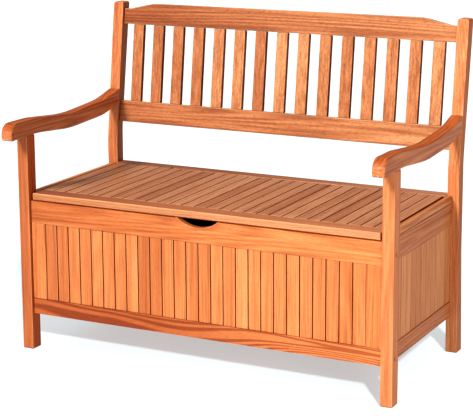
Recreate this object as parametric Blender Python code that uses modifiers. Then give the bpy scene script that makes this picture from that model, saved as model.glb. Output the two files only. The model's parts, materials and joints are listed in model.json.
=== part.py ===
"""Outdoor storage bench: a panelled box seat with a hinged lid, two arms and a slatted back.

Metres, +Z up, front towards -Y, origin on the floor under the middle of the bench.
A depth in this file is measured backwards from the front faces of the front legs.
"""

import math

import bmesh
import bpy
from mathutils import Matrix, Vector

# Overall sizes
WIDTH = 1.080
SEAT_HEIGHT = 0.436
BACK_HEIGHT = 0.899
BOX_DEPTH = 0.494

# How pieces meet: the gap between neighbours, and how far edges are rounded
FIT = 0.0003
BOARD_EDGE = 0.0015
LEG_EDGE = 0.0025

# Front and back legs
LEG_WIDTH = 0.033
FRONT_LEG_DEPTH = 0.038
FOOT_DEPTH = 0.0385
FOOT_SPLAY = 0.017
WAIST_DEPTH = 0.034
POST_TOP_DEPTH = 0.036
KNEE_HEIGHT = 0.300
BEND_HEIGHT = 0.497
REAR_BEND_RISE = 0.038
BEND_RADIUS = 0.350
KNEE_RADIUS = 0.800
POST_CORNER = 0.007
BACK_LEAN = math.radians(7.2)

# Arms
ARM_UNDERSIDE = 0.591
ARM_THICKNESS = 0.042
ARM_OVERHANG = 0.070
ARM_EDGE = 0.0026
NOSE_ROUND = 0.030
NOSE_CHIN = 0.008
NOSE_DROP = 0.004
ARM_FALL_START = 0.040
ARM_UNDER_FALL_START = 0.060
ARM_DIP_PLACE = 0.215
ARM_TOP_DIP = 0.0165
ARM_UNDER_DIP = 0.0135
ARM_REAR_RUN = 0.083
ARM_REAR_STEP = 0.004
ARM_REAR_RISE = 0.017
ARM_UNDER_REAR_RISE = 0.020
ARM_BEND_RADIUS = 0.250
ARM_DIP_RADIUS = 0.600

# Lid, and the fixed board behind it
LID_THICKNESS = 0.020
LID_SIDE_GAP = 0.0065
LID_FRONT_BOARD = 0.050
LID_JOINT_DEPTH = 0.007
REAR_BOARD_DEPTH = 0.040
HINGE_GAP = 0.004
BATTEN_WIDTH = 0.040
BATTEN_THICKNESS = 0.018
BATTEN_END_GAP = 0.020
FRONT_BATTEN_DEPTH = 0.100
REAR_BATTEN_GAP = 0.015

# Boards of the panels
BOARD_PITCH = 0.0357
JOINT_WIDTH = 0.0024
JOINT_DEPTH = 0.0035
BOARD_SETBACK = 0.003
BOARD_THICKNESS = 0.012
LEAST_STILE = 0.036
SIDE_BOARD_PITCH = 0.0354
SIDE_BOARD_THICKNESS = 0.009
SIDE_JOINT_DEPTH = 0.003

# Rails of the panels
PANEL_SETBACK = 0.008
REAR_PANEL_SETBACK = 0.002
RAIL_THICKNESS = 0.018
SIDE_THICKNESS = 0.0135
APRON_HEIGHT = 0.0625
BOTTOM_RAIL_LOW = 0.1005
BOTTOM_RAIL_HEIGHT = 0.043

# Hand slot in the front apron
SLOT_DEPTH = 0.022
SLOT_RADIUS = 0.090
SLOT_FLARE = 0.010

# Floor of the box
FLOOR_BOARDS = 12
FLOOR_THICKNESS = 0.010
FLOOR_SETBACK = 0.017
FLOOR_GROOVE = 0.005

# Back: everything here is measured in the leaning plane, up from the bend of the posts
RAIL_SETBACK = 0.008
BACK_RAIL_THICKNESS = 0.019
LOWER_RAIL_RISE = 0.0595
LOWER_RAIL_HEIGHT = 0.0615
SLAT_COUNT = 15
SLAT_WIDTH = 0.033
SLAT_THICKNESS = 0.015
TOP_RAIL_END_HEIGHT = 0.0438
TOP_RAIL_CROWN = 0.0177
POST_STAND = 0.0005
CROWN_SHOULDER = 0.016
CROWN_RUN = 0.080
CROWN_RADIUS = 0.120

# Hinges
HINGE_INSET = 0.152
HINGE_LENGTH = 0.060
LEAF_HEIGHT = 0.018
LEAF_MARGIN = 0.001
LEAF_CLEARANCE = 0.0004
KNUCKLE_RADIUS = 0.003
HINGE_PIN_RADIUS = 0.0012
TAB_OVERLAP = 0.002

# Leg bolts
BOLT_RADIUS = 0.003
BOLT_HEAD_RADIUS = 0.006
BOLT_HEAD_THICKNESS = 0.004
BOLT_RECESS = 0.003
BOLT_IN_RAIL = 0.035

# Fineness of round shapes
ROUND_SIDES = 12
ARC_STEP = math.radians(15)
ARC_RISE = 0.00015
SAME_POINT = 0.00001

# Places that follow from the sizes above
LEG_OUTER = WIDTH / 2
LEG_INNER = LEG_OUTER - LEG_WIDTH
SPAN = LEG_INNER - FIT
BEND_FRONT = BOX_DEPTH - WAIST_DEPTH
FOOT_BACK = BOX_DEPTH + FOOT_SPLAY
FOOT_FRONT = FOOT_BACK - FOOT_DEPTH
LID_UNDERSIDE = SEAT_HEIGHT - LID_THICKNESS
REAR_BOARD_FRONT = BOX_DEPTH - REAR_BOARD_DEPTH
LID_BACK = REAR_BOARD_FRONT - HINGE_GAP
LID_HALF = LEG_INNER - LID_SIDE_GAP
HINGE_DEPTH = LID_BACK + HINGE_GAP / 2
FRONT_RAIL = (PANEL_SETBACK, PANEL_SETBACK + RAIL_THICKNESS)
REAR_RAIL = (BOX_DEPTH - REAR_PANEL_SETBACK - RAIL_THICKNESS, BOX_DEPTH - REAR_PANEL_SETBACK)
APRON = (LID_UNDERSIDE - APRON_HEIGHT, LID_UNDERSIDE - FIT)
BOTTOM_RAIL = (BOTTOM_RAIL_LOW, BOTTOM_RAIL_LOW + BOTTOM_RAIL_HEIGHT)
BOARD_ROOM = (BOTTOM_RAIL[1] + FIT, APRON[0] - FIT)
FLOOR = (BOTTOM_RAIL_LOW + FLOOR_SETBACK, BOTTOM_RAIL_LOW + FLOOR_SETBACK + FLOOR_THICKNESS)
LOWER_RAIL = (LOWER_RAIL_RISE, LOWER_RAIL_RISE + LOWER_RAIL_HEIGHT)
POST_LENGTH = (BACK_HEIGHT - BEND_HEIGHT) / math.cos(BACK_LEAN)
TOP_RAIL_LOW = POST_LENGTH - POST_STAND - TOP_RAIL_CROWN - TOP_RAIL_END_HEIGHT

# Planes that outlines are drawn in, as the turn from the outline's own axes
UPRIGHT = Matrix.Rotation(math.radians(90), 3, "X")
PLANES = {
    "side": Matrix.Rotation(math.radians(90), 3, "Z") @ UPRIGHT,
    "front": UPRIGHT,
    "plan": Matrix.Identity(3),
}


def post_front(height):
    """The depth of a back leg's front face at a height."""
    if height < BEND_HEIGHT:
        return FOOT_FRONT + (BEND_FRONT - FOOT_FRONT) * height / BEND_HEIGHT
    return BEND_FRONT + (height - BEND_HEIGHT) * math.tan(BACK_LEAN)


def start_scene():
    """An empty scene with a collection for the parts, one for the cutters, and the frames."""
    for obj in list(bpy.data.objects):
        bpy.data.objects.remove(obj)
    scene = bpy.context.scene.collection
    parts = bpy.data.collections.new("outdoor_storage_bench")
    cutters = bpy.data.collections.new("cutters")
    cutters.hide_render = True
    scene.children.link(parts)
    scene.children.link(cutters)
    return parts, cutters


def empty(name, location, parent=None):
    obj = bpy.data.objects.new(name, None)
    PARTS.objects.link(obj)
    obj.parent = parent
    obj.location = location
    return obj


def principled(name, colour, roughness, metallic=0.0):
    """A plain material with the colour, roughness and metallic value of its piece."""
    material = bpy.data.materials.new(name)
    material.use_nodes = True
    shader = material.node_tree.nodes["Principled BSDF"]
    shader.inputs["Base Color"].default_value = (*colour, 1)
    shader.inputs["Roughness"].default_value = roughness
    shader.inputs["Metallic"].default_value = metallic
    return material


def add_object(name, mesh, material, parent, location):
    """The mesh as a named part. What rides on the lid keeps its place in the bench's frame."""
    mesh.name = name
    mesh.materials.clear()
    mesh.materials.append(material)
    obj = bpy.data.objects.new(name, mesh)
    PARTS.objects.link(obj)
    obj.parent = parent
    obj.location = location
    if parent == LID_PIVOT:
        obj.matrix_parent_inverse = Matrix.Translation(-LID_PIVOT.location)
    return obj


def as_cutter(obj):
    PARTS.objects.unlink(obj)
    CUTTERS.objects.link(obj)
    obj.hide_render = True
    obj.display_type = "WIRE"
    return obj


def round_edges(obj, width):
    """Rounds the sharp edges and leaves those between the facets of an arc."""
    bevel = obj.modifiers.new("rounded_edges", "BEVEL")
    bevel.width = width
    bevel.segments = 2 if width > BOARD_EDGE else 1
    bevel.limit_method = "ANGLE"
    bevel.angle_limit = math.radians(35)
    return obj


def combine(obj, operation, other):
    boolean = obj.modifiers.new(other.name, "BOOLEAN")
    boolean.operation = operation
    boolean.solver = "EXACT"
    boolean.object = other


def box(name, x, y, z, material, parent, edge=BOARD_EDGE):
    """A straight board or bar between the given limits."""
    limits = (x, y, z)
    shape = bmesh.new()
    bmesh.ops.create_cube(shape, size=1)
    bmesh.ops.scale(shape, vec=[high - low for low, high in limits], verts=shape.verts)
    mesh = bpy.data.meshes.new(name)
    shape.to_mesh(mesh)
    shape.free()
    centre = [(low + high) / 2 for low, high in limits]
    return round_edges(add_object(name, mesh, material, parent, centre), edge)


def extruded(name, outline, limits, plane, material, parent):
    """The closed outline, drawn in its plane, extruded between the two limits."""
    turn = PLANES[plane]
    curve = bpy.data.curves.new(name, "CURVE")
    curve.dimensions = "2D"
    curve.fill_mode = "BOTH"
    curve.extrude = (limits[1] - limits[0]) / 2
    spline = curve.splines.new("POLY")
    spline.points.add(len(outline) - 1)
    spline.use_cyclic_u = True
    for point, (u, v) in zip(spline.points, outline):
        point.co = (u, v, 0, 1)
    drawn = bpy.data.objects.new(name, curve)
    PARTS.objects.link(drawn)
    graph = bpy.context.evaluated_depsgraph_get()
    mesh = bpy.data.meshes.new_from_object(drawn.evaluated_get(graph))
    bpy.data.objects.remove(drawn)
    mesh.transform(turn.to_4x4())
    shape = bmesh.new()
    shape.from_mesh(mesh)
    bmesh.ops.remove_doubles(shape, verts=shape.verts, dist=SAME_POINT)
    flat = math.radians(0.05)
    bmesh.ops.dissolve_limit(shape, angle_limit=flat, verts=shape.verts, edges=shape.edges)
    bmesh.ops.recalc_face_normals(shape, faces=shape.faces)
    shape.to_mesh(mesh)
    shape.free()
    middle = (limits[0] + limits[1]) / 2
    location = [abs(part) * middle for part in turn.col[2]]
    return add_object(name, mesh, material, parent, location)


def arc(centre, radius, start, end):
    """Points along an arc, ends included: no turn over ARC_STEP, no chord further off than ARC_RISE."""
    widest = min(ARC_STEP, math.sqrt(8 * ARC_RISE / radius))
    steps = max(4, math.ceil(abs(end - start) / widest))
    angles = [start + (end - start) * i / steps for i in range(steps + 1)]
    return [(centre[0] + radius * math.cos(a), centre[1] + radius * math.sin(a)) for a in angles]


def rounded(corners):
    """The closed outline through the corners (u, v, radius), each turned at its radius."""
    points = []
    for i, (u, v, radius) in enumerate(corners):
        if radius == 0:
            points.append((u, v))
            continue
        here = Vector((u, v))
        before = (Vector(corners[i - 1][:2]) - here).normalized()
        after = (Vector(corners[(i + 1) % len(corners)][:2]) - here).normalized()
        half = before.angle(after) / 2
        centre = here + (before + after).normalized() * radius / math.sin(half)
        spoke = here + before * radius / math.tan(half) - centre
        start = math.atan2(spoke.y, spoke.x)
        sweep = math.copysign(math.pi - 2 * half, before.y * after.x - before.x * after.y)
        points += arc(centre, radius, start, start + sweep)
    return points


def grooved(ends, faces, joints, depth):
    """The section of a panel of boards: a bar with a narrow groove in both faces at each joint."""
    low, high = faces
    near = [(ends[0], low)]
    for joint in joints:
        left = joint - JOINT_WIDTH / 2
        right = joint + JOINT_WIDTH / 2
        near += [(left, low), (left, low + depth), (right, low + depth), (right, low)]
    near.append((ends[1], low))
    far = [(u, low + high - v) for u, v in reversed(near)]
    return near + far


def board_joints(half, least_end):
    """Where upright boards meet, counted from the middle, leaving an end board of the least width."""
    each_side = int((half - least_end) / BOARD_PITCH)
    return [i * BOARD_PITCH for i in range(-each_side, each_side + 1)]


def cylinder(name, radius, length, material, location):
    """A round bar along X, centred on the location."""
    shape = bmesh.new()
    bmesh.ops.create_cone(
        shape, cap_ends=True, segments=ROUND_SIDES, radius1=radius, radius2=radius, depth=length
    )
    bmesh.ops.rotate(shape, verts=shape.verts, matrix=Matrix.Rotation(math.pi / 2, 3, "Y"))
    mesh = bpy.data.meshes.new(name)
    shape.to_mesh(mesh)
    shape.free()
    mesh.shade_smooth()
    mesh.set_sharp_from_angle(angle=math.radians(40))
    return add_object(name, mesh, material, BENCH, location)


def turned(name, profile, material, location, side):
    """A turned piece whose axis points outwards on the given side of the bench."""
    mesh = bpy.data.meshes.new(name)
    edges = [(i, i + 1) for i in range(len(profile) - 1)]
    mesh.from_pydata([(radius, 0, height) for radius, height in profile], edges, [])
    obj = add_object(name, mesh, material, BENCH, location)
    obj.rotation_euler.y = side * math.pi / 2
    screw = obj.modifiers.new("turned", "SCREW")
    screw.steps = ROUND_SIDES
    screw.render_steps = ROUND_SIDES
    screw.use_merge_vertices = True
    screw.merge_threshold = SAME_POINT
    return obj


def side_name(side):
    return "right" if side > 0 else "left"


def outward(side, near, far):
    """X limits on one side of the bench, from distances to its middle."""
    return tuple(sorted((side * near, side * far)))


def back_leg_outline():
    """Splayed at the foot, upright behind the box, and leaning back above the bend."""
    top_front = post_front(BACK_HEIGHT)
    return rounded([
        (FOOT_FRONT, 0, 0),
        (FOOT_BACK, 0, 0),
        (BOX_DEPTH, KNEE_HEIGHT, KNEE_RADIUS),
        (BOX_DEPTH, BEND_HEIGHT + REAR_BEND_RISE, BEND_RADIUS),
        (top_front + POST_TOP_DEPTH, BACK_HEIGHT, 0),
        (top_front, BACK_HEIGHT, 0),
        (BEND_FRONT, BEND_HEIGHT, BEND_RADIUS),
    ])


def round_post_top(obj):
    """Rounds the two corners that a post's top shows from the front."""
    shape = bmesh.new()
    shape.from_mesh(obj.data)
    reach = BACK_HEIGHT - SAME_POINT
    top = [e for e in shape.edges if all(v.co.z > reach for v in e.verts)]
    along = [e for e in top if abs(e.verts[0].co.x - e.verts[1].co.x) < SAME_POINT]
    bmesh.ops.bevel(shape, geom=along, offset=POST_CORNER, segments=4, profile=0.5, affect="EDGES")
    shape.to_mesh(obj.data)
    shape.free()


def make_legs(side):
    across = outward(side, LEG_INNER, LEG_OUTER)
    name = side_name(side)
    top = ARM_UNDERSIDE - FIT
    front = box("front_leg_" + name, across, (0, FRONT_LEG_DEPTH), (0, top), FRAME_WOOD, BENCH, LEG_EDGE)
    back = extruded("back_leg_" + name, back_leg_outline(), across, "side", FRAME_WOOD, BENCH)
    round_post_top(back)
    round_edges(back, LEG_EDGE)
    return front, back


def arm_outline():
    """A level, overhanging nose on the leg, a shallow dip, and a rise to the back post."""
    crown = ARM_UNDERSIDE + ARM_THICKNESS
    rear_top = crown + ARM_REAR_RISE
    rear_under = ARM_UNDERSIDE + ARM_UNDER_REAR_RISE
    rear_bend = post_front(rear_top) - ARM_REAR_RUN
    return rounded([
        (-ARM_OVERHANG, ARM_UNDERSIDE - NOSE_DROP, NOSE_CHIN),
        (0, ARM_UNDERSIDE, 0),
        (ARM_UNDER_FALL_START, ARM_UNDERSIDE, ARM_BEND_RADIUS),
        (ARM_DIP_PLACE, ARM_UNDERSIDE - ARM_UNDER_DIP, ARM_DIP_RADIUS),
        (rear_bend, ARM_UNDERSIDE - ARM_REAR_STEP, ARM_BEND_RADIUS),
        (post_front(rear_under) - FIT, rear_under, 0),
        (post_front(rear_top) - FIT, rear_top, 0),
        (rear_bend, crown - ARM_REAR_STEP, ARM_BEND_RADIUS),
        (ARM_DIP_PLACE, crown - ARM_TOP_DIP, ARM_DIP_RADIUS),
        (ARM_FALL_START, crown, ARM_BEND_RADIUS),
        (-ARM_OVERHANG, crown, NOSE_ROUND),
    ])


def make_arm(side):
    across = outward(side, LEG_INNER, LEG_OUTER)
    arm = extruded("arm_" + side_name(side), arm_outline(), across, "side", FRAME_WOOD, BENCH)
    return round_edges(arm, ARM_EDGE)


def apron_outline():
    """The front apron, with the hand slot scooped out of the middle of its top edge."""
    low, top = APRON
    slot_centre = (0, top - SLOT_DEPTH + SLOT_RADIUS)
    flare_height = top - SLOT_FLARE
    rise = slot_centre[1] - flare_height
    reach = math.sqrt((SLOT_RADIUS + SLOT_FLARE) ** 2 - rise**2)
    lean = math.atan2(rise, reach)
    right_flare = arc((reach, flare_height), SLOT_FLARE, math.pi / 2, math.pi - lean)
    scoop = arc(slot_centre, SLOT_RADIUS, -lean, lean - math.pi)
    left_flare = [(-x, z) for x, z in reversed(right_flare)]
    corners = [(-SPAN, top), (-SPAN, low), (SPAN, low), (SPAN, top)]
    return corners + right_flare + scoop[1:-1] + left_flare


def make_front_panel():
    apron = extruded("front_apron", apron_outline(), FRONT_RAIL, "front", PANEL_WOOD, BENCH)
    round_edges(apron, BOARD_EDGE)
    joints = board_joints(SPAN, LEAST_STILE)
    boards_half = joints[-1]
    for side in (-1, 1):
        across = outward(side, boards_half, SPAN)
        box("front_stile_" + side_name(side), across, FRONT_RAIL, BOARD_ROOM, PANEL_WOOD, BENCH)
    front = PANEL_SETBACK + BOARD_SETBACK
    ends = (FIT - boards_half, boards_half - FIT)
    outline = grooved(ends, (front, front + BOARD_THICKNESS), joints[1:-1], JOINT_DEPTH)
    extruded("front_boards", outline, BOARD_ROOM, "plan", BOARD_WOOD, BENCH)
    return apron


def make_rear_panel():
    apron = box("rear_apron", (-SPAN, SPAN), REAR_RAIL, APRON, INNER_WOOD, BENCH)
    back = REAR_RAIL[1] - BOARD_SETBACK
    joints = board_joints(SPAN, BOARD_PITCH / 2)
    outline = grooved((-SPAN, SPAN), (back - BOARD_THICKNESS, back), joints, JOINT_DEPTH)
    extruded("rear_boards", outline, BOARD_ROOM, "plan", INNER_WOOD, BENCH)
    return apron


def bottom_rail(name, rail, inner):
    """A bottom rail whose inner face is grooved for the floor."""
    outer = rail[0] if inner == rail[1] else rail[1]
    groove = inner + math.copysign(FLOOR_GROOVE, outer - inner)
    low, top = BOTTOM_RAIL
    groove_low = FLOOR[0] - FIT
    groove_top = FLOOR[1] + FIT
    outline = [(outer, low), (inner, low), (inner, groove_low), (groove, groove_low)]
    outline += [(groove, groove_top), (inner, groove_top), (inner, top), (outer, top)]
    return extruded(name, outline, (-SPAN, SPAN), "side", PANEL_WOOD, BENCH)


def make_floor():
    """The floor's edges lie in the grooves of both bottom rails."""
    front = FRONT_RAIL[1] - FLOOR_GROOVE + FIT
    back = REAR_RAIL[0] + FLOOR_GROOVE - FIT
    pitch = 2 * SPAN / FLOOR_BOARDS
    joints = [i * pitch - SPAN for i in range(1, FLOOR_BOARDS)]
    outline = grooved((-SPAN, SPAN), FLOOR, joints, JOINT_DEPTH)
    extruded("floor_boards", outline, (front, back), "front", INNER_WOOD, BENCH)


def against_leg(heights):
    """The side outline of a piece from the front leg to the back leg's sloping front face."""
    low, high = heights
    front = FRONT_LEG_DEPTH + FIT
    return [(front, low), (post_front(low) - FIT, low), (post_front(high) - FIT, high), (front, high)]


def make_side_panel(side):
    """Cap, apron, upright boards and bottom rail between a front and a back leg."""
    name = side_name(side)
    across = outward(side, LEG_INNER, LEG_INNER + SIDE_THICKNESS)
    rails = {"cap": (LID_UNDERSIDE, SEAT_HEIGHT), "apron": APRON, "bottom_rail": BOTTOM_RAIL}
    for kind, heights in rails.items():
        rail = extruded(f"side_{kind}_{name}", against_leg(heights), across, "side", PANEL_WOOD, BENCH)
        round_edges(rail, BOARD_EDGE)
    front = FRONT_LEG_DEPTH + FIT
    face = LEG_INNER + SIDE_THICKNESS - BOARD_SETBACK
    faces = outward(side, face - SIDE_BOARD_THICKNESS, face)
    count = round((BEND_FRONT - FRONT_LEG_DEPTH) / SIDE_BOARD_PITCH)
    joints = [FRONT_LEG_DEPTH + SIDE_BOARD_PITCH * i for i in range(1, count)]
    section = grooved((front, BEND_FRONT), faces, joints, SIDE_JOINT_DEPTH)
    outline = [(x, y) for y, x in section]
    boards = extruded("side_boards_" + name, outline, BOARD_ROOM, "plan", BOARD_WOOD, BENCH)
    for vertex in boards.data.vertices:
        if vertex.co.y > BEND_FRONT - SAME_POINT:
            vertex.co.y = post_front(boards.location.z + vertex.co.z) - FIT


def make_seat():
    """The fixed rear board, and the lid of a front board and slats on two battens."""
    rear = (REAR_BOARD_FRONT, BOX_DEPTH)
    heights = (LID_UNDERSIDE, SEAT_HEIGHT)
    rear_board = box("rear_seat_board", (-SPAN, SPAN), rear, heights, LID_WOOD, BENCH)
    across = (-LID_HALF, LID_HALF)
    seam = PANEL_SETBACK + LID_FRONT_BOARD
    box("lid_front_board", across, (PANEL_SETBACK, seam), heights, LID_WOOD, LID_PIVOT, LEG_EDGE)
    joints = board_joints(LID_HALF, BOARD_PITCH / 2)
    outline = grooved(across, heights, joints, LID_JOINT_DEPTH)
    slats = extruded("lid_slats", outline, (seam + FIT, LID_BACK), "front", LID_WOOD, LID_PIVOT)
    batten_across = (BATTEN_END_GAP - LID_HALF, LID_HALF - BATTEN_END_GAP)
    batten_heights = (LID_UNDERSIDE - FIT - BATTEN_THICKNESS, LID_UNDERSIDE - FIT)
    rear_batten = LID_BACK - REAR_BATTEN_GAP - BATTEN_WIDTH
    for name, depth in (("front", FRONT_BATTEN_DEPTH), ("rear", rear_batten)):
        depths = (depth, depth + BATTEN_WIDTH)
        box("lid_batten_" + name, batten_across, depths, batten_heights, INNER_WOOD, LID_PIVOT)
    return rear_board, slats


def top_rail_outline():
    """Level at its ends and raised in a long, gently shouldered crown."""
    crown = TOP_RAIL_END_HEIGHT + TOP_RAIL_CROWN
    foot = SPAN - CROWN_SHOULDER
    head = foot - CROWN_RUN
    corners = [
        (-SPAN, 0, 0),
        (SPAN, 0, 0),
        (SPAN, TOP_RAIL_END_HEIGHT, 0),
        (foot, TOP_RAIL_END_HEIGHT, CROWN_RADIUS),
        (head, crown, CROWN_RADIUS),
        (-head, crown, CROWN_RADIUS),
        (-foot, TOP_RAIL_END_HEIGHT, CROWN_RADIUS),
        (-SPAN, TOP_RAIL_END_HEIGHT, 0),
    ]
    return rounded([(x, TOP_RAIL_LOW + height, radius) for x, height, radius in corners])


def make_back():
    """Two rails and the slats between them, in the leaning frame."""
    rails = (RAIL_SETBACK, RAIL_SETBACK + BACK_RAIL_THICKNESS)
    top_rail = extruded("back_top_rail", top_rail_outline(), rails, "front", BACK_WOOD, BACK_FRAME)
    round_edges(top_rail, LEG_EDGE)
    box("back_lower_rail", (-SPAN, SPAN), rails, LOWER_RAIL, BACK_WOOD, BACK_FRAME, LEG_EDGE)
    middle = (rails[0] + rails[1]) / 2
    depths = (middle - SLAT_THICKNESS / 2, middle + SLAT_THICKNESS / 2)
    heights = (LOWER_RAIL[1] + FIT, TOP_RAIL_LOW - FIT)
    gap = (2 * LEG_INNER - SLAT_COUNT * SLAT_WIDTH) / (SLAT_COUNT + 1)
    for i in range(SLAT_COUNT):
        centre = (i - (SLAT_COUNT - 1) / 2) * (SLAT_WIDTH + gap)
        across = (centre - SLAT_WIDTH / 2, centre + SLAT_WIDTH / 2)
        box(f"back_slat_{i + 1:02d}", across, depths, heights, BACK_WOOD, BACK_FRAME)


def leaf_outline(tabs):
    """A hinge leaf seen from the front: a plate with a tab up to each of its knuckles."""
    half = HINGE_LENGTH / 2 + LEAF_MARGIN
    low = SEAT_HEIGHT - LEAF_HEIGHT
    relief = SEAT_HEIGHT - KNUCKLE_RADIUS - FIT
    points = [(-half, relief), (-half, low), (half, low), (half, relief)]
    for start, end in reversed(tabs):
        top = relief + TAB_OVERLAP
        points += [(end, relief), (end, top), (start, top), (start, relief)]
    return points


def make_leaf(name, place, knuckles, depths, parent):
    """A leaf with its knuckles, bored for the pin."""
    outline = [(place + x, z) for x, z in leaf_outline(knuckles)]
    leaf = extruded(name, outline, depths, "front", HINGE_METAL, parent)
    for i, (start, end) in enumerate(knuckles):
        at = (place + (start + end) / 2, HINGE_DEPTH, SEAT_HEIGHT)
        knuckle = cylinder(f"{name}_knuckle_{i}", KNUCKLE_RADIUS, end - start, HINGE_METAL, at)
        combine(leaf, "UNION", as_cutter(knuckle))
    at = (place, HINGE_DEPTH, SEAT_HEIGHT)
    bore = cylinder(name + "_bore", HINGE_PIN_RADIUS + FIT, 2 * HINGE_LENGTH, HINGE_METAL, at)
    combine(leaf, "DIFFERENCE", as_cutter(bore))


def make_hinge(side, boards):
    """A butt hinge in the gap behind the lid, let into the boards on both sides of it."""
    name = side_name(side)
    place = side * (LID_HALF - HINGE_INSET)
    half = HINGE_LENGTH / 2
    third = HINGE_LENGTH / 6
    fixed_knuckles = [(-half, -third - FIT), (third + FIT, half)]
    behind = (HINGE_DEPTH + LEAF_CLEARANCE / 2, REAR_BOARD_FRONT - FIT)
    before = (LID_BACK + FIT, HINGE_DEPTH - LEAF_CLEARANCE / 2)
    make_leaf("hinge_fixed_leaf_" + name, place, fixed_knuckles, behind, BENCH)
    make_leaf("hinge_lid_leaf_" + name, place, [(-third, third)], before, LID_PIVOT)
    at = (place, HINGE_DEPTH, SEAT_HEIGHT)
    cylinder("hinge_pin_" + name, HINGE_PIN_RADIUS, HINGE_LENGTH + LEAF_MARGIN, HINGE_METAL, at)
    room = HINGE_LENGTH + 2 * LEAF_MARGIN
    mortise = cylinder("hinge_mortise_" + name, KNUCKLE_RADIUS + FIT, room, HINGE_METAL, at)
    as_cutter(mortise)
    for board in boards:
        combine(board, "DIFFERENCE", mortise)


def make_bolt(name, side, depth, height, leg, rail):
    """A bolt through the leg into the end of the rail, its head sunk into the leg's outer face."""
    head_face = (side * (LEG_OUTER - BOLT_RECESS), depth, height)
    length = LEG_WIDTH - BOLT_RECESS + BOLT_IN_RAIL
    head_foot = -BOLT_HEAD_THICKNESS
    turned(name, [
        (0, 0),
        (BOLT_HEAD_RADIUS, 0),
        (BOLT_HEAD_RADIUS, head_foot),
        (BOLT_RADIUS, head_foot),
        (BOLT_RADIUS, -length),
        (0, -length),
    ], BOLT_METAL, head_face, side)
    hole = turned(name + "_hole", [
        (0, 2 * BOLT_RECESS),
        (BOLT_HEAD_RADIUS + FIT, 2 * BOLT_RECESS),
        (BOLT_HEAD_RADIUS + FIT, head_foot - FIT),
        (BOLT_RADIUS + FIT, head_foot - FIT),
        (BOLT_RADIUS + FIT, -length - FIT),
        (0, -length - FIT),
    ], BOLT_METAL, head_face, side)
    as_cutter(hole)
    combine(leg, "DIFFERENCE", hole)
    combine(rail, "DIFFERENCE", hole)


PARTS, CUTTERS = start_scene()
MIDDLE_DEPTH = (post_front(BACK_HEIGHT) + POST_TOP_DEPTH - ARM_OVERHANG) / 2
BENCH = empty("bench_frame", (0, -MIDDLE_DEPTH, 0))
LID_PIVOT = empty("lid_pivot", (0, HINGE_DEPTH, SEAT_HEIGHT), BENCH)
BACK_FRAME = empty("back_frame", (0, BEND_FRONT, BEND_HEIGHT), BENCH)
BACK_FRAME.rotation_euler.x = -BACK_LEAN

FRAME_WOOD = principled("frame_wood", (0.62, 0.24, 0.085), 0.42)
PANEL_WOOD = principled("panel_wood", (0.66, 0.27, 0.10), 0.45)
BOARD_WOOD = principled("board_wood", (0.60, 0.23, 0.08), 0.48)
LID_WOOD = principled("lid_wood", (0.48, 0.20, 0.09), 0.45)
BACK_WOOD = principled("back_wood", (0.70, 0.30, 0.12), 0.42)
INNER_WOOD = principled("inner_wood", (0.45, 0.19, 0.08), 0.60)
HINGE_METAL = principled("hinge_metal", (0.55, 0.53, 0.50), 0.35, 1.0)
BOLT_METAL = principled("bolt_metal", (0.22, 0.20, 0.18), 0.40, 1.0)

front_apron = make_front_panel()
rear_apron = make_rear_panel()
front_bottom_rail = bottom_rail("front_bottom_rail", FRONT_RAIL, FRONT_RAIL[1])
rear_bottom_rail = bottom_rail("rear_bottom_rail", REAR_RAIL, REAR_RAIL[0])
make_floor()
seat_boards = make_seat()
make_back()
for side in (-1, 1):
    front_leg, back_leg = make_legs(side)
    make_arm(side)
    make_side_panel(side)
    make_hinge(side, seat_boards)
    upper = (APRON[0] + APRON[1]) / 2
    lower = (BOTTOM_RAIL[0] + BOTTOM_RAIL[1]) / 2
    corners = (
        ("front_upper", sum(FRONT_RAIL) / 2, upper, front_leg, front_apron),
        ("front_lower", sum(FRONT_RAIL) / 2, lower, front_leg, front_bottom_rail),
        ("back_upper", sum(REAR_RAIL) / 2, upper, back_leg, rear_apron),
        ("back_lower", sum(REAR_RAIL) / 2, lower, back_leg, rear_bottom_rail),
    )
    for place, depth, height, leg, rail in corners:
        make_bolt(f"bolt_{place}_{side_name(side)}", side, depth, height, leg, rail)
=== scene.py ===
"""The finish of the outdoor storage bench: oiled hardwood boards, plated hinges and bolts.

Metres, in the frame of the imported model. A depth here is measured backwards from the front
faces of the front legs, as in the model's own source.
"""

import json
import math
import random

import bmesh
import bpy
from mathutils import Matrix, Vector

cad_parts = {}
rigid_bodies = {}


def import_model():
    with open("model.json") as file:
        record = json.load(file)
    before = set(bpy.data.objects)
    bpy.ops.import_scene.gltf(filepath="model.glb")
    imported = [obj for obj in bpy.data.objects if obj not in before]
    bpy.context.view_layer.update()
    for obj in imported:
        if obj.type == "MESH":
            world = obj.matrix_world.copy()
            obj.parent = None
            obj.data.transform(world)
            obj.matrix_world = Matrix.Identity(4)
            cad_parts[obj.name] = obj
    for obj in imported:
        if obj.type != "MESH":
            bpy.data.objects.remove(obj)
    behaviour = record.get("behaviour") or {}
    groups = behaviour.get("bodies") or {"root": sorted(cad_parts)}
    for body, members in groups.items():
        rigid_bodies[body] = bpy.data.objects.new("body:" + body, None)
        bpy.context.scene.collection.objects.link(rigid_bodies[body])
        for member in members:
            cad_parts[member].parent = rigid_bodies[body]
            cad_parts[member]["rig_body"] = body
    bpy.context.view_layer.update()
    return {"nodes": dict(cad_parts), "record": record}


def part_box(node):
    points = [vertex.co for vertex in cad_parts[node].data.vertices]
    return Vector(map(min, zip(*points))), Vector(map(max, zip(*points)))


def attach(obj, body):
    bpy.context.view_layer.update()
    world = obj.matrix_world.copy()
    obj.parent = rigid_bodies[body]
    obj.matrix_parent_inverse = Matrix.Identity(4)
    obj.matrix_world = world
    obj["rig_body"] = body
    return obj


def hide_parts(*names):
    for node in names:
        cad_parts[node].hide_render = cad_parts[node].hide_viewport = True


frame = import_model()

SEED = 11

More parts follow.
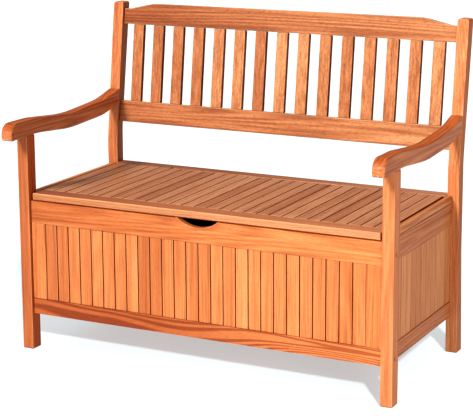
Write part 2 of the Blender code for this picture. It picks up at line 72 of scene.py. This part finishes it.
# The picture, and the camera that saw it
PICTURE_WIDTH = 473
CAMERA_PLACE = (1.895894, -3.725632, 1.388052)
CAMERA_TURN = math.radians(27.01904)
CAMERA_TILT = math.radians(78.08580)
CAMERA_ROLL = math.radians(-0.30185)
FOCAL_PIXELS = 1609.246
SHIFT_PIXELS = -40
SENSOR_WIDTH = 36.0

# How far the front faces of the legs lie before the middle of the part
MIDDLE_DEPTH = 0.238392

# Where the back legs' front faces lie: the depth and height at the floor and at the bend
POST_FOOT = (0.4725, 0.0)
POST_BEND = (0.460, 0.497)
POST_GAP = 0.0003

# Boards, with their joints where the model has its grooves
SLATS = 15
FLOOR_BOARDS = 12
BOARD_PITCH = 0.0357
SIDE_BOARD_PITCH = 0.0354
SIDE_FIRST_JOINT = 0.0734
SIDE_JOINTS = 11
JOINT_WIDTH = 0.0024
JOINT_DEPTH = 0.0035
LID_JOINT_DEPTH = 0.007
SIDE_JOINT_DEPTH = 0.003
BOARD_EDGE = 0.0012
TONGUE_REACH = 0.004

# Below what angle an edge is smooth, how wide a narrow face is, and when two points are the same
# and two faces lie in one plane
SMOOTH_BELOW = math.radians(50)
NARROW_FACE = 0.0045
SAME_POINT = 0.00001
SAME_PLANE = 0.01

# The least share of a face's normal along an axis for a slanted face, for an upper or lower
# edge, for the top of an arm, for a front and for a face that is side-on
SLANTED = 0.2
EDGE_TURNED = 0.3
ARM_TOP = 0.35
FRONT = 0.5
SIDE_ON = 0.8

# Dirt and painted shade, from 0 to 1: painted shade on the sides of the slats and of each leg and
# on the tops of the arms, and dirt and painted shade in the joints of the side panels
SLAT_SIDES = 1.0
LEG_SIDES = {
    "front_leg_left": 0.2, "front_leg_right": 0.1,
    "back_leg_left": 0.5, "back_leg_right": 0.35,
}
ARM_TOPS = 0.3
SIDE_SHADE = 0.27

# The edges at the lid's gaps that gather dirt and painted shade, upper (1) or lower (-1). The hand
# slot stays clean of both, so its rim takes the worn colour with its painted highlight
DIRTY_AND_SHADED_EDGES = {"front_apron": 1, "lid_front_board": -1, "side_cap_left": -1, "side_cap_right": -1}
SLOT_REACH = 0.09

# Tone runs from 0, dark, to 1, pale. In wood whose grain runs along the bench it rises by this
# much in a metre, a painted light that is brighter to the right, and the front of the lid's front
# board is paler than its top by this much, a painted light on its front face
PAINTED_LIGHT_RISE = 0.7
PAINTED_LIGHT_FRONT = 0.45

# Slats and boards that are paler or darker than their neighbours, counted from the left
PALE_SLATS = (5, 6, 8, 9, 15)
MIDDLE_SLATS = (10, 12, 13, 14)
PALE_BOARDS = (5, 8, 11, 15, 17, 18, 19, 20, 21, 22, 26)
DARK_BOARDS = (1, 2, 9, 10)
# The lid's first three boards are pale also as painted light against the shadow that falls on them
PALE_LID = (1, 2, 3, 11, 12, 13, 15, 17, 21, 25, 27, 28)
DARK_LID = (9, 14, 19, 24)
PALE_TONES = (0.60, 0.75)
DARK_TONES = (0.15, 0.25)
PALE_SLAT_TONES = (0.80, 0.95)
MIDDLE_SLAT_TONES = (0.52, 0.60)
SLAT_TONES = (0.24, 0.32)
ANY_TONE = (0.0, 1.0)

# What one board looks like beside the next: grain that wanders by this much, in metres
STRAIGHT = 0.006
WAVY = 0.018
SWIRLED = 0.090

# The noises that the grain is made of: each one's scale across the grain, and the share of it
# that is left along the grain
DRIFT = (10.0, 0.16)
STREAKS = (200.0, 0.014)
BANDS = (45.0, 0.014)
FIBRES = (900.0, 0.014)
FLOW = (13.0, 0.05)
FLECKS = (430.0, 0.22)

# How they add up to a figure between dark and light: rings count more where the grain wanders
RINGS = 110.0
RING_SHARES = (0.08, 0.85)
STREAK_SHARE = 0.62
BAND_SHARE = 0.38
COLOUR_REACH = 0.10
BOARD_SHIFT = (3.7, 5.3, 2.9)

# Colours that multiply the wood's own: in the pores and flecks, by its tone, and by its dirt and painted
# shade
WHITE = (1.0, 1.0, 1.0)
PORE_COLOUR = (0.78, 0.68, 0.62)
FLECK_COLOUR = (0.55, 0.40, 0.34, 1.0)
TONE_COLOURS = [
    (0.0, (0.62, 0.45, 0.35)),
    (0.25, (0.86, 0.78, 0.74)),
    (0.6, WHITE),
    (1.0, (1.12, 1.26, 1.36)),
]
DIRT_AND_SHADE_COLOURS = [
    (0.0, WHITE),
    # A warm stop: painted warm light, thrown back from nearby wood onto a shaded side
    (0.2, (0.95, 0.68, 0.36)),
    (0.5, (0.62, 0.56, 0.52)),
    (1.0, (0.42, 0.21, 0.10)),
]

# The colour of worn edges, which is also a painted highlight on them, and how much of it shows
WORN_AND_HIGHLIT_COLOUR = (0.66, 0.34, 0.16, 1.0)
WORN_AND_HIGHLIT_SHARES = (0.10, 0.40)

# Each wood: its contrast, how much it is flecked, and its dark, middle and light colour
LOOKS = {
    "frame_wood": (0.6, 0.2, (0.34, 0.090, 0.028), (0.48, 0.150, 0.050), (0.58, 0.212, 0.084)),
    "panel_wood": (0.5, 0.25, (0.34, 0.085, 0.022), (0.48, 0.142, 0.040), (0.58, 0.200, 0.066)),
    "board_wood": (0.55, 0.2, (0.40, 0.115, 0.032), (0.53, 0.175, 0.056), (0.62, 0.230, 0.082)),
    # The lid's wood is paler and greyer, partly its own colour and partly a painted sheen on its top
    "lid_wood": (0.6, 0.3, (0.32, 0.126, 0.057), (0.44, 0.190, 0.092), (0.52, 0.258, 0.132)),
    "lid_edge": (0.5, 0.2, (0.36, 0.145, 0.066), (0.43, 0.160, 0.066), (0.50, 0.190, 0.076)),
    "back_wood": (0.75, 0.55, (0.31, 0.100, 0.034), (0.44, 0.162, 0.060), (0.54, 0.225, 0.092)),
    "inner_wood": (0.8, 0.3, (0.26, 0.072, 0.020), (0.36, 0.112, 0.033), (0.44, 0.155, 0.052)),
}

# The one piece whose wood isn't that of its slot
FINISH = {"lid_front_board_wood": "lid_edge"}

# The frame's wooden pieces, each from a board of its own: the way its grain runs, how far the
# grain wanders, and the range of its tone
PIECES = [
    # The legs' tones, darker on the left and paler on the right, are partly painted light, brighter to the
    # right
    ("Z", STRAIGHT, (0.12, 0.16), ("front_leg_left",)),
    ("Z", STRAIGHT, (0.55, 0.65), ("back_leg_left", "front_stile_left")),
    ("Z", STRAIGHT, (0.85, 0.95), ("front_leg_right", "back_leg_right", "front_stile_right")),
    ("Y", WAVY, (0.42, 0.52), ("arm_left", "arm_right")),
    ("Y", WAVY, (0.40, 0.60), ("side_apron_left", "side_apron_right")),
    ("Y", WAVY, (0.40, 0.60), ("side_bottom_rail_left", "side_bottom_rail_right")),
    ("Y", WAVY, (0.90, 0.95), ("side_cap_left", "side_cap_right")),
    ("X", WAVY, (0.55, 0.57), ("front_apron",)),
    ("X", WAVY, (0.34, 0.38), ("lid_front_board",)),
    ("X", WAVY, (0.46, 0.50), ("back_lower_rail",)),
    ("X", WAVY, (0.30, 0.50), ("rear_apron", "rear_bottom_rail")),
    # The rear seat board's dark tone is partly painted shade
    ("X", WAVY, (0.05, 0.10), ("rear_seat_board",)),
    ("X", WAVY, (0.30, 0.60), ("lid_batten_front", "lid_batten_rear")),
    ("X", SWIRLED, (0.05, 0.10), ("front_bottom_rail",)),
    ("X", WAVY, (0.27, 0.30), ("back_top_rail",)),
]

# Each metal: its name, its range of roughness, and its dark and light colour
METALS = {
    "hinge_metal": ("bronzed_hinge", (0.50, 0.65), (0.12, 0.060, 0.035), (0.22, 0.110, 0.065)),
    "bolt_metal": ("darkened_bolt", (0.28, 0.46), (0.14, 0.12, 0.10), (0.28, 0.25, 0.22)),
}

# The floor
FLOOR_SIZE = 60.0
FLOOR_COLOURS = [(0.3, (0.49, 0.58, 0.61)), (0.7, (0.52, 0.61, 0.64))]
FLOOR_GLOW = 0.40
FLOOR_GLOW_COLOUR = (0.96, 1.0, 1.03, 1.0)

# Light: a wide lamp from the front left on the bench, one from the front right for the shadow on
# the floor, a weak card low on the right, and a sky that is brightest at the front left
KEY_FROM = (-0.25, -0.77, 0.58)
KEY_STRENGTH = 4.1
KEY_SPREAD = math.radians(16)
FLOOR_LIGHT_FROM = (0.47, -0.66, 0.50)
FLOOR_LIGHT_STRENGTH = 3.2
FLOOR_LIGHT_SPREAD = math.radians(3)
CARD_PLACE = (1.9, -1.5, 0.45)
CARD_TARGET = (0.5, 0.0, 0.25)
CARD_POWER = 14.0
CARD_SIZE = 0.8
SKY_FROM = (-0.45, -0.55, 0.70)
SKY_DIM = 0.0
SKY_BRIGHT = 0.62

# What casts no shadow on the floor
HIGH_PIECES = ("arm_", "back_top", "back_lower", "back_slat")

nodes = frame["nodes"]
scene = bpy.context.scene
chance = random.Random(SEED)


def add(tree, kind, inputs=None, **settings):
    """A shader node with its settings, and its inputs given as values or as links."""
    node = tree.nodes.new("ShaderNode" + kind)
    for key, value in settings.items():
        setattr(node, key, value)
    for key, value in (inputs or {}).items():
        if isinstance(value, bpy.types.NodeSocket):
            tree.links.new(value, node.inputs[key])
        else:
            node.inputs[key].default_value = value
    return node


def attribute(tree, name):
    return add(tree, "Attribute", attribute_name=name).outputs["Fac"]


def maths(tree, operation, first, second):
    return add(tree, "Math", {0: first, 1: second}, operation=operation).outputs[0]


def vectors(tree, operation, first, second):
    return add(tree, "VectorMath", {0: first, 1: second}, operation=operation).outputs[0]


def scaled(tree, vector, factor):
    return add(tree, "VectorMath", {0: vector, "Scale": factor}, operation="SCALE").outputs[0]


def mapped(tree, value, low, high, to_low, to_high):
    inputs = {"Value": value, "From Min": low, "From Max": high, "To Min": to_low, "To Max": to_high}
    return add(tree, "MapRange", inputs).outputs["Result"]


def blended(tree, blend, share, first, second):
    """Two colours combined, the second one laid over the first with this share."""
    mix = add(tree, "Mix", {0: share, 6: first, 7: second}, data_type="RGBA", blend_type=blend)
    return mix.outputs[2]


def ramp(tree, value, stops):
    node = add(tree, "ValToRGB", {"Fac": value})
    elements = node.color_ramp.elements
    while len(elements) < len(stops):
        elements.new(0.5)
    for element, (position, colour) in zip(elements, stops):
        element.position = position
        element.color = (*colour, 1)
    return node.outputs["Color"]


def noise(tree, place, scale, detail, roughness=0.5):
    inputs = {"Vector": place, "Scale": scale, "Detail": detail, "Roughness": roughness}
    return add(tree, "TexNoise", inputs)


def stretched(tree, place, along, share):
    """The place with its coordinate along the grain shortened, so that a texture is drawn out that way."""
    scale = [1.0, 1.0, 1.0]
    scale["XYZ".index(along)] = share
    return vectors(tree, "MULTIPLY", place, scale)


def grain(tree, place, along, texture, detail, roughness=0.5):
    """Noise that is drawn out along the grain."""
    scale, share = texture
    return noise(tree, stretched(tree, place, along, share), scale, detail, roughness)


def new_material(name):
    """A material with its node tree and its shader."""
    material = bpy.data.materials.new(name)
    material.use_nodes = True
    return material, material.node_tree, material.node_tree.nodes["Principled BSDF"]


def wood_place(tree, place, along):
    """Where a board lies in the tree that it is cut from, with the wandering of its grain."""
    shift = scaled(tree, BOARD_SHIFT, attribute(tree, "board"))
    place = vectors(tree, "ADD", place, shift)
    drift = grain(tree, place, along, DRIFT, 1.0).outputs["Color"]
    drift = vectors(tree, "SUBTRACT", drift, (0.5, 0.5, 0.5))
    return vectors(tree, "ADD", place, scaled(tree, drift, attribute(tree, "wander")))


def wood(name, along, contrast, flecked, dark, middle, light):
    """Oiled hardwood with its grain along one axis. Each board is cut from its own place in the tree."""
    material, tree, shader = new_material(name)
    dirt_and_shade = attribute(tree, "seam")
    tone = attribute(tree, "tone")
    spot = add(tree, "TexCoord").outputs["Object"]
    # Painted light: the tone rises towards the right of the bench
    if along == "X":
        sideways = add(tree, "SeparateXYZ", {0: spot}).outputs["X"]
        tone = maths(tree, "ADD", tone, maths(tree, "MULTIPLY", sideways, PAINTED_LIGHT_RISE))
    place = wood_place(tree, spot, along)

    streak = grain(tree, place, along, STREAKS, 4.0, 0.6).outputs["Fac"]
    band = grain(tree, place, along, BANDS, 2.0).outputs["Fac"]
    fibre = grain(tree, place, along, FIBRES, 2.0).outputs["Fac"]
    flow = grain(tree, place, along, FLOW, 0.0).outputs["Fac"]
    flecks = grain(tree, place, along, FLECKS, 2.0, 0.6).outputs["Fac"]
    rings = maths(tree, "SINE", maths(tree, "MULTIPLY", flow, RINGS), 0.0)
    rings = mapped(tree, rings, -1.0, 1.0, 0.0, 1.0)

    ringed = mapped(tree, attribute(tree, "wander"), STRAIGHT, SWIRLED, *RING_SHARES)
    figure = maths(tree, "MULTIPLY", streak, STREAK_SHARE)
    figure = maths(tree, "ADD", figure, maths(tree, "MULTIPLY", band, BAND_SHARE))
    rings = maths(tree, "MULTIPLY", maths(tree, "SUBTRACT", rings, 0.5), ringed)
    figure = maths(tree, "ADD", figure, rings)
    reach = COLOUR_REACH / contrast
    colour = ramp(tree, figure, [(0.50 - reach, dark), (0.50, middle), (0.50 + reach, light)])

    pores = mapped(tree, fibre, 0.34, 0.46, 0.0, 1.0)
    pore_colour = ramp(tree, pores, [(0.0, PORE_COLOUR), (1.0, WHITE)])
    colour = blended(tree, "MULTIPLY", 1.0, colour, pore_colour)
    flecks = mapped(tree, flecks, 0.52, 0.64, 0.0, flecked)
    colour = blended(tree, "MULTIPLY", flecks, colour, FLECK_COLOUR)
    colour = blended(tree, "MULTIPLY", 1.0, colour, ramp(tree, tone, TONE_COLOURS))
    # Worn edges, paler both from wear and as a painted highlight
    worn_and_highlit = mapped(tree, streak, 0.40, 0.62, *WORN_AND_HIGHLIT_SHARES)
    worn_and_highlit = maths(tree, "MULTIPLY", worn_and_highlit, attribute(tree, "edge"))
    colour = blended(tree, "MIX", worn_and_highlit, colour, WORN_AND_HIGHLIT_COLOUR)
    # Darkened by dirt and painted shade, with less shine where it is darkest
    colour = blended(tree, "MULTIPLY", 1.0, colour, ramp(tree, dirt_and_shade, DIRT_AND_SHADE_COLOURS))
    tree.links.new(colour, shader.inputs["Base Color"])

    tree.links.new(mapped(tree, streak, 0.30, 0.70, 0.58, 0.44), shader.inputs["Roughness"])
    tree.links.new(mapped(tree, dirt_and_shade, 0.0, 1.0, 0.18, 0.02), shader.inputs["Specular IOR Level"])
    relief = maths(tree, "ADD", pores, maths(tree, "MULTIPLY", streak, 0.8))
    bump = add(tree, "Bump", {"Height": relief, "Strength": 0.22, "Distance": 0.0004})
    tree.links.new(bump.outputs["Normal"], shader.inputs["Normal"])
    shader.inputs["Coat Weight"].default_value = 0.02
    shader.inputs["Coat Roughness"].default_value = 0.35
    return material


def plated_steel(name, shine, dark, light):
    """Plated steel: cloudy, with small dull spots and fine scratches, its roughness between two shares."""
    material, tree, shader = new_material(name)
    place = add(tree, "TexCoord").outputs["Object"]
    cloud = noise(tree, place, 140.0, 4.0, 0.6).outputs["Fac"]
    scratch = noise(tree, stretched(tree, place, "X", 0.06), 1500.0, 2.0).outputs["Fac"]
    tree.links.new(ramp(tree, cloud, [(0.35, dark), (0.65, light)]), shader.inputs["Base Color"])
    tree.links.new(mapped(tree, cloud, 0.3, 0.7, *shine), shader.inputs["Roughness"])
    bump = add(tree, "Bump", {"Height": scratch, "Strength": 0.15, "Distance": 0.0001})
    tree.links.new(bump.outputs["Normal"], shader.inputs["Normal"])
    shader.inputs["Metallic"].default_value = 1.0
    return material


def pale_floor(name):
    """A plain pale floor, a little cloudy, with some light of its own."""
    material, tree, shader = new_material(name)
    place = add(tree, "TexCoord").outputs["Object"]
    cloud = noise(tree, place, 1.2, 3.0).outputs["Fac"]
    tree.links.new(ramp(tree, cloud, FLOOR_COLOURS), shader.inputs["Base Color"])
    shader.inputs["Roughness"].default_value = 0.9
    shader.inputs["Specular IOR Level"].default_value = 0.2
    shader.inputs["Emission Color"].default_value = FLOOR_GLOW_COLOUR
    shader.inputs["Emission Strength"].default_value = FLOOR_GLOW
    return material


def finished(name, bm):
    """A mesh of this name, from geometry that isn't needed any more."""
    mesh = bpy.data.meshes.new(name)
    bm.to_mesh(mesh)
    bm.free()
    return mesh


def placed(name, data):
    """A new object in the scene."""
    thing = bpy.data.objects.new(name, data)
    scene.collection.objects.link(thing)
    return thing


def tag_faces(bm, wander, tone, worn_and_highlit, dirt_and_shade_of):
    """Gives every face the numbers that the wood reads: its board's place in the tree, how far
    its grain wanders, its tone, whether it is a worn edge with a painted highlight, and how much
    dirt and painted shade it has."""
    layers = {name: bm.faces.layers.float.new(name) for name in ("board", "wander", "tone", "edge", "seam")}
    number = chance.random()
    for face in bm.faces:
        face[layers["board"]] = number
        face[layers["wander"]] = wander
        face[layers["tone"]] = tone
        face[layers["edge"]] = float(worn_and_highlit(face))
        face[layers["seam"]] = float(dirt_and_shade_of(face))
        face.smooth = True


def slanted(face):
    return sum(abs(part) > SLANTED for part in face.normal) > 1


def narrow(face):
    return face.calc_area() / max(edge.calc_length() for edge in face.edges) < NARROW_FACE


def show(name, mesh, body, slot, along, *replaced):
    """Puts a finished mesh in the scene, in place of the frame's own pieces."""
    mesh.set_sharp_from_angle(angle=SMOOTH_BELOW)
    piece = placed(name, mesh)
    mesh.materials.append(WOODS[FINISH.get(name, slot), along])
    normals = piece.modifiers.new("even_normals", "WEIGHTED_NORMAL")
    normals.keep_sharp = True
    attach(piece, body)
    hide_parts(*replaced)
    return piece


def dirt_and_shade_on(name, face):
    """How dark a face of a frame piece is, from 0 to 1, for the dirt and the painted shade it gathers."""
    side_on = abs(face.normal.x) > SIDE_ON
    # Painted shade on the side faces of the slats and legs, under the legs' lower edges and on the tops of
    # the arms
    if name.startswith("back_slat_"):
        return SLAT_SIDES * side_on
    if name in LEG_SIDES:
        shaded_lower_edge = narrow(face) and face.normal.z < -EDGE_TURNED
        return 1.0 if shaded_lower_edge else LEG_SIDES[name] * side_on
    if name.startswith("arm_"):
        return ARM_TOPS * (face.normal.z > ARM_TOP)
    # The hand slot's rim gets no dirt or painted shade, so it shows the painted highlight of a worn edge
    if name == "front_apron" and abs(face.calc_center_median().x) < SLOT_REACH:
        return 0.0
    # Dirt and painted shade on the edges at the lid's gaps
    return narrow(face) and DIRTY_AND_SHADED_EDGES.get(name, 0) * face.normal.z > EDGE_TURNED


def refine(name, along, wander, tone):
    """The frame's piece with whole faces, softly shaded edges and its own board of wood."""
    def dirt_and_shade_of(face):
        return dirt_and_shade_on(name, face)

    def worn_and_highlit(face):
        return narrow(face) and not dirt_and_shade_of(face)

    node = nodes[name]
    bm = bmesh.new()
    bm.from_mesh(node.data)
    bmesh.ops.remove_doubles(bm, verts=bm.verts, dist=SAME_POINT)
    bmesh.ops.dissolve_limit(bm, verts=bm.verts, edges=bm.edges, angle_limit=SAME_PLANE)
    for layer in list(bm.loops.layers.uv.values()):
        bm.loops.layers.uv.remove(layer)
    tag_faces(bm, wander, tone, worn_and_highlit, dirt_and_shade_of)
    # Painted light: the front face of the lid's front board is paler than its top
    if name == "lid_front_board":
        tones = bm.faces.layers.float["tone"]
        for face in bm.faces:
            face[tones] += PAINTED_LIGHT_FRONT * (face.normal.y < -FRONT)
    mesh = finished(name + "_wood", bm)
    return show(name + "_wood", mesh, node["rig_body"], SLOT_OF[name], along, name)


def post_front(height):
    """Where a back leg's front face lies at a height below its bend."""
    depth = POST_FOOT[0] + (POST_BEND[0] - POST_FOOT[0]) * height / POST_BEND[1]
    return depth - MIDDLE_DEPTH


def lean_to_post(bm):
    """Cuts a side board short where it would run into the sloping leg behind it."""
    for corner in bm.verts:
        corner.co.y = min(corner.co.y, post_front(corner.co.z) - POST_GAP)


def block(low, high):
    """A box from its two corners."""
    bm = bmesh.new()
    matrix = Matrix.Translation((low + high) / 2) @ Matrix.Diagonal((*(high - low), 1))
    bmesh.ops.create_cube(bm, size=1.0, matrix=matrix)
    return bm


def boards(name, replaced, along, across, joints, depth, tones, shade=1.0, pale=(), dark=()):
    """A panel of separate boards, cut at the joints along one axis, with a tongue behind each
    joint. The joints are darkened for dirt and painted shade by the shade. Boards that are pale or
    dark have those tones. In the frame a panel's two ends are joints too, and the lid's end boards
    reach its ends."""
    body = nodes[replaced]["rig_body"]
    low, high = (Vector(corner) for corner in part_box(replaced))
    axis = "XYZ".index(across)
    thin = min(range(3), key=lambda a: high[a] - low[a])
    if body == "bench_frame":
        joints = ends = [low[axis], *joints, high[axis]]
    else:
        ends = [low[axis] - JOINT_WIDTH / 2, *joints, high[axis] + JOINT_WIDTH / 2]
    spans = [(a + JOINT_WIDTH / 2, b - JOINT_WIDTH / 2, 0.0) for a, b in zip(ends, ends[1:])]
    for joint in joints:
        start = max(joint - TONGUE_REACH, low[axis])
        end = min(joint + TONGUE_REACH, high[axis])
        spans.append((start, end, depth))

    # Dirt and painted shade in the joints and on the tongues in the recesses behind them
    def in_joint(face):
        return shade * (recess > 0 or abs(face.normal[axis]) > SIDE_ON)

    whole = bmesh.new()
    for number, (start, end, recess) in enumerate(spans, 1):
        first, last = low.copy(), high.copy()
        first[axis], last[axis] = start, end
        first[thin] += recess
        last[thin] -= recess
        one = block(first, last)
        if across == "Y":
            lean_to_post(one)
        edges = one.edges[:]
        bmesh.ops.bevel(one, geom=edges, offset=BOARD_EDGE, segments=2, profile=0.5, affect="EDGES")
        own = PALE_TONES if number in pale else DARK_TONES if number in dark else tones
        tag_faces(one, STRAIGHT, chance.uniform(*own), slanted, in_joint)
        step = finished("step", one)
        whole.from_mesh(step)
        bpy.data.meshes.remove(step)
    return show(name, finished(name, whole), body, SLOT_OF[replaced], along, replaced)


def even(half):
    """Joints a board apart on both sides of the middle, as far as a panel of this half width goes."""
    count = int(half / BOARD_PITCH)
    return [k * BOARD_PITCH for k in range(-count, count + 1)]


def half_width(name):
    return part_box(name)[1].x


def slat_tones(number):
    if number in PALE_SLATS:
        return PALE_SLAT_TONES
    return MIDDLE_SLAT_TONES if number in MIDDLE_SLATS else SLAT_TONES


def towards(source):
    """The turn of a lamp that shines from the direction of the source."""
    return Vector(source).to_track_quat("Z", "Y").to_euler()


def sun(name, strength, spread, source, floor_part, shadowless=()):
    """A sun from one side that either lights only the floor or leaves the floor out, and that some
    pieces cast no shadow of."""
    lamp = bpy.data.lights.new(name, "SUN")
    lamp.energy = strength
    lamp.angle = spread
    light = placed(name, lamp)
    light.rotation_euler = towards(source)
    lit = bpy.data.collections.new(name + "_lit")
    lit.objects.link(floor)
    lit.collection_objects[0].light_linking.link_state = floor_part
    light.light_linking.receiver_collection = lit
    if shadowless:
        blockers = bpy.data.collections.new(name + "_blockers")
        for number, piece in enumerate(shadowless):
            blockers.objects.link(piece)
            blockers.collection_objects[number].light_linking.link_state = "EXCLUDE"
        light.light_linking.blocker_collection = blockers


SLOT_OF = {part["node"]: part["material_slot"] for part in frame["record"]["subparts"]}
WOODS = {}
for slot, look in LOOKS.items():
    for along in "XYZ":
        WOODS[slot, along] = wood(slot + "_" + along.lower(), along, *look)

# Legs, arms, rails and slats
for along, wander, tones, names in PIECES:
    for name in names:
        refine(name, along, wander, chance.uniform(*tones))
for number in range(1, SLATS + 1):
    refine(f"back_slat_{number:02d}", "Z", STRAIGHT, chance.uniform(*slat_tones(number)))

# Panels, board by board
joints = even(half_width("lid_slats") - BOARD_PITCH / 2)
boards("lid_boards", "lid_slats", "Y", "X", joints, LID_JOINT_DEPTH, (0.42, 0.52),
       pale=PALE_LID, dark=DARK_LID)
joints = even(half_width("front_boards"))
boards("front_panel_boards", "front_boards", "Z", "X", joints, JOINT_DEPTH, (0.38, 0.52),
       pale=PALE_BOARDS, dark=DARK_BOARDS)
joints = even(half_width("rear_boards") - BOARD_PITCH / 2)
boards("rear_panel_boards", "rear_boards", "Z", "X", joints, JOINT_DEPTH, ANY_TONE)
half = half_width("floor_boards")
joints = [half * (2 * k / FLOOR_BOARDS - 1) for k in range(1, FLOOR_BOARDS)]
boards("floor_panel_boards", "floor_boards", "Y", "X", joints, JOINT_DEPTH, ANY_TONE)
joints = [SIDE_FIRST_JOINT - MIDDLE_DEPTH + k * SIDE_BOARD_PITCH for k in range(SIDE_JOINTS)]
for side in ("left", "right"):
    boards("side_panel_boards_" + side, "side_boards_" + side, "Z", "Y", joints, SIDE_JOINT_DEPTH,
           (0.6, 1.0), SIDE_SHADE)

# Hinges and bolts
metals = {slot: plated_steel(*look) for slot, look in METALS.items()}
for name, node in nodes.items():
    if SLOT_OF[name] in metals:
        node.data.materials.clear()
        node.data.materials.append(metals[SLOT_OF[name]])

# The floor
bm = bmesh.new()
bmesh.ops.create_grid(bm, x_segments=2, y_segments=2, size=FLOOR_SIZE)
floor = placed("floor", finished("floor", bm))
floor.data.materials.append(pale_floor("pale_floor"))

# The sky
world = bpy.data.worlds.new("studio")
scene.world = world
world.use_nodes = True
tree = world.node_tree
sky = tree.nodes["Background"]
direction = add(tree, "TexCoord").outputs["Generated"]
facing = add(tree, "VectorMath", {0: direction, 1: SKY_FROM}, operation="DOT_PRODUCT").outputs["Value"]
tree.links.new(mapped(tree, facing, -1.0, 1.0, SKY_DIM, SKY_BRIGHT), sky.inputs["Strength"])
sky.inputs["Color"].default_value = (*WHITE, 1.0)
scene.view_settings.view_transform = "Standard"
scene.view_settings.look = "Medium High Contrast"

# The lamps
high_pieces = [piece for piece in scene.objects if piece.name.startswith(HIGH_PIECES)]
sun("key", KEY_STRENGTH, KEY_SPREAD, KEY_FROM, "EXCLUDE")
sun("floor_light", FLOOR_LIGHT_STRENGTH, FLOOR_LIGHT_SPREAD, FLOOR_LIGHT_FROM, "INCLUDE", high_pieces)
lamp = bpy.data.lights.new("card", "AREA")
lamp.energy = CARD_POWER
lamp.size = CARD_SIZE
card = placed("card", lamp)
card.location = CARD_PLACE
card.rotation_euler = towards(Vector(CARD_PLACE) - Vector(CARD_TARGET))

# The camera
lens = bpy.data.cameras.new("camera")
lens.sensor_width = SENSOR_WIDTH
lens.lens = FOCAL_PIXELS * SENSOR_WIDTH / PICTURE_WIDTH
lens.shift_y = SHIFT_PIXELS / PICTURE_WIDTH
camera = placed("camera", lens)
turn = Matrix.Rotation(CAMERA_TURN, 4, "Z") @ Matrix.Rotation(CAMERA_TILT, 4, "X")
turn = turn @ Matrix.Rotation(CAMERA_ROLL, 4, "Z")
camera.matrix_world = Matrix.Translation(CAMERA_PLACE) @ turn
scene.camera = camera
